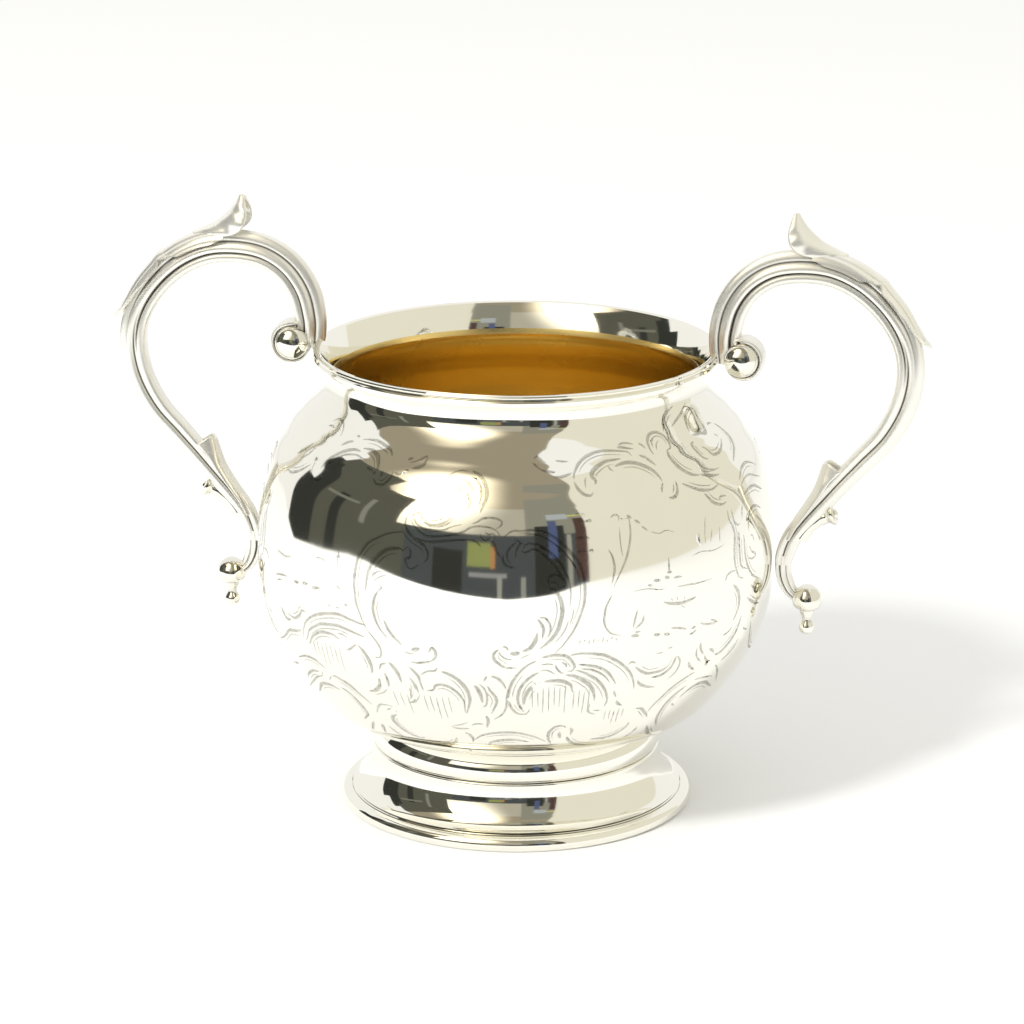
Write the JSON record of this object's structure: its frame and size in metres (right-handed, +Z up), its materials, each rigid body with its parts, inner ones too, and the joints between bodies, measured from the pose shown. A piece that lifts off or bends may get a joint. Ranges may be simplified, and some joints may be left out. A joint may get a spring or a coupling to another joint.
{
  "type": "sugar bowl",
  "caption": "Globular silver sugar bowl with a gilt inside, everted reeded lip, spreading foot and a pair of fluted scroll handles with thumb leaves.",
  "frame": {"origin": "on the table, under the centre of the foot", "axes": "+Z up through the mouth, +X along the plane of the two handles"},
  "size_m": [0.1848, 0.118, 0.1392],
  "materials": {
    "silver_sheet": "mirror polished sterling silver, bright engraved, with fine wear",
    "silver_castings": "polished silver castings with grey oxide left in the grooves",
    "gilding": "matt to satin gold wash"
  },
  "bodies": {
    "root": {"bowl_body": "silver_sheet", "lip_wire": "silver_sheet", "gilt_lining": "gilding", "foot_collar": "silver_sheet", "foot_ring": "silver_sheet", "foot_wire": "silver_sheet", "left_scroll": "silver_castings", "left_sheath_leaf": "silver_castings", "left_thumb_leaf": "silver_castings", "left_volute_curl": "silver_castings", "left_volute_button": "silver_castings", "left_calyx_leaf": "silver_castings", "left_bud": "silver_castings", "left_tail_scroll": "silver_castings", "left_tail_finial": "silver_castings", "right_scroll": "silver_castings", "right_sheath_leaf": "silver_castings", "right_thumb_leaf": "silver_castings", "right_volute_curl": "silver_castings", "right_volute_button": "silver_castings", "right_calyx_leaf": "silver_castings", "right_bud": "silver_castings", "right_tail_scroll": "silver_castings", "right_tail_finial": "silver_castings"}
  },
  "joints": []
}
